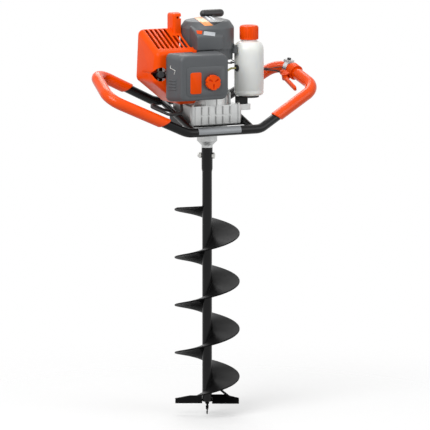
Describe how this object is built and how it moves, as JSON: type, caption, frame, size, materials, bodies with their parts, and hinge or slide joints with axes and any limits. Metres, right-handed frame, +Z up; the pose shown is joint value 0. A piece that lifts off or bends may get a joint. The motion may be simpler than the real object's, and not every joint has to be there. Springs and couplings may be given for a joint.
{
  "type": "earth auger",
  "caption": "Petrol earth auger: engine with recoil starter and fuel bottle over a gearbox, a looped tube handle with dipped grips, and a helical drill bit below.",
  "frame": {"origin": "tip of the drill bit's pilot point, on the drill axis", "axes": "+Z up the drill axis to the engine, +X to the user's right as the picture shows it, -Y the front, where the air filter is"},
  "size_m": [0.7282, 0.3084, 1.2415],
  "materials": {
    "orange_plastic": "glossy moulded orange",
    "orange_grip": "glossy dipped vinyl",
    "charcoal_plastic": "fine-grained charcoal moulding",
    "black_plastic": "black moulding",
    "black_paint": "black powder coat",
    "cast_alloy": "as-cast silver",
    "steel": "bright machined",
    "dark_steel": "heat-stained steel",
    "bottle_plastic": "milky translucent",
    "hose_rubber": "black rubber",
    "fuel_line": "clear yellowed tube",
    "rope": "braided cord",
    "foam": "open foam"
  },
  "bodies": {
    "machine": {"output_neck": "cast_alloy", "shaft_bearings": "steel", "gearbox_lower": "cast_alloy", "gearbox_upper": "cast_alloy", "gearbox_bolts": "steel", "gearbox_bearings": "steel", "clutch_bell": "cast_alloy", "crankcase": "cast_alloy", "engine_cylinder": "cast_alloy", "spark_plug": "steel", "plug_boot": "hose_rubber", "ignition_coil": "black_plastic", "fan_case": "cast_alloy", "muffler": "dark_steel", "muffler_guard": "charcoal_plastic", "intake_block": "black_plastic", "carburettor": "cast_alloy", "filter_base": "charcoal_plastic", "filter_element": "foam", "filter_cover": "charcoal_plastic", "cylinder_shroud": "orange_plastic", "starter_cover": "charcoal_plastic", "recoil_spring": "steel", "starter_rope": "rope", "cover_screws": "steel", "fuel_bottle": "bottle_plastic", "fuel_hose": "fuel_line", "bottle_bracket": "black_plastic", "breather_hose": "hose_rubber", "mounting_plate": "black_paint", "handle_frame": "black_paint", "handle_grips": "orange_grip", "lever_clamp": "orange_plastic", "control_cables": "hose_rubber", "stop_switch": "cast_alloy"},
    "bit": {"bit_tube": "black_paint", "bit_socket": "black_paint", "bit_flight": "black_paint", "cutter_blades": "black_paint", "pilot_point": "black_paint", "coupling_bolt": "steel", "output_spindle": "steel", "output_gear": "steel"},
    "idler": {"idler_cluster": "steel"},
    "drum": {"clutch_drum": "steel"},
    "crank": {"crankshaft": "steel", "flywheel": "cast_alloy"},
    "front_shoe": {"shoe_front": "dark_steel"},
    "rear_shoe": {"shoe_rear": "dark_steel"},
    "piston": {"piston": "cast_alloy", "connecting_rod": "steel", "rod_pins": "steel"},
    "pulley": {"starter_pulley": "black_plastic"},
    "pull": {"pull_grip": "black_plastic"},
    "lever": {"throttle_lever": "orange_plastic"},
    "throttle": {"throttle_arm": "steel"},
    "button": {"stop_button": "black_plastic"},
    "choke": {"choke_lever": "orange_plastic"},
    "cap": {"fuel_cap": "orange_plastic"},
    "knob": {"filter_knob": "orange_plastic"}
  },
  "joints": [
    {"name": "bit_spin", "type": "hinge", "parent": "machine", "child": "bit", "pos_m": [0, 0, 0.86], "axis": [0, 0, 1], "continuous": true},
    {"name": "idler_spin", "type": "hinge", "parent": "machine", "child": "idler", "pos_m": [0.042, 0, 0.93], "axis": [0, 0, 1], "continuous": true},
    {"name": "drum_spin", "type": "hinge", "parent": "machine", "child": "drum", "pos_m": [0, 0, 0.955], "axis": [0, 0, 1], "continuous": true},
    {"name": "crank_spin", "type": "hinge", "parent": "machine", "child": "crank", "pos_m": [0, 0, 1.056], "axis": [0, 0, 1], "continuous": true},
    {"name": "front_shoe_slide", "type": "slide", "parent": "crank", "child": "front_shoe", "axis": [0, -1, 0], "range_m": [0, 0.0006], "stiffness_N_per_m": 6000},
    {"name": "rear_shoe_slide", "type": "slide", "parent": "crank", "child": "rear_shoe", "axis": [0, 1, 0], "range_m": [0, 0.0006]},
    {"name": "piston_stroke", "type": "slide", "parent": "machine", "child": "piston", "axis": [1, 0, 0], "range_m": [0, 0.034]},
    {"name": "rope_pull", "type": "slide", "parent": "machine", "child": "pull", "axis": [0, 0.5, 0.866], "range_m": [0, 0.7], "stiffness_N_per_m": 12, "springref_m": -0.5, "deforming": ["starter_rope"]},
    {"name": "pulley_spin", "type": "hinge", "parent": "machine", "child": "pulley", "pos_m": [0, 0, 1.159], "axis": [0, 0, 1], "range_deg": [0, 790]},
    {"name": "throttle_squeeze", "type": "hinge", "parent": "machine", "child": "lever", "pos_m": [0.30059, 0.06342, 1.02393], "axis": [-0.3368, -0.3834, 0.86], "range_deg": [0, 17], "stiffness_Nm_per_rad": 0.5, "springref_deg": -17.19},
    {"name": "throttle_turn", "type": "hinge", "parent": "machine", "child": "throttle", "pos_m": [-0.084, -0.077, 1.084], "axis": [0, 0, 1], "range_deg": [0, 60]},
    {"name": "stop_press", "type": "slide", "parent": "machine", "child": "button", "axis": [-0.0878, 0.1697, -0.9816], "range_m": [0, 0.003], "stiffness_N_per_m": 600, "springref_m": -0.002},
    {"name": "choke_turn", "type": "hinge", "parent": "machine", "child": "choke", "pos_m": [-0.095, -0.103, 1.094], "axis": [0, -1, 0], "range_deg": [0, 40]},
    {"name": "cap_lift", "type": "slide", "parent": "machine", "child": "cap", "axis": [0, 0, 1], "range_m": [0, 0.06]},
    {"name": "knob_turn", "type": "hinge", "parent": "machine", "child": "knob", "pos_m": [-0.06, -0.16, 1.045], "axis": [0, -1, 0], "range_deg": [0, 720]}
  ],
  "couplings": [
    {"joint": "idler_spin", "follows": "bit_spin", "ratio": -4.6},
    {"joint": "drum_spin", "follows": "bit_spin", "ratio": 22.233},
    {"joint": "rear_shoe_slide", "follows": "front_shoe_slide", "ratio": 1},
    {"joint": "pulley_spin", "follows": "rope_pull", "rad_per_m": 19.608},
    {"joint": "throttle_turn", "follows": "throttle_squeeze", "ratio": 3.5}
  ]
}
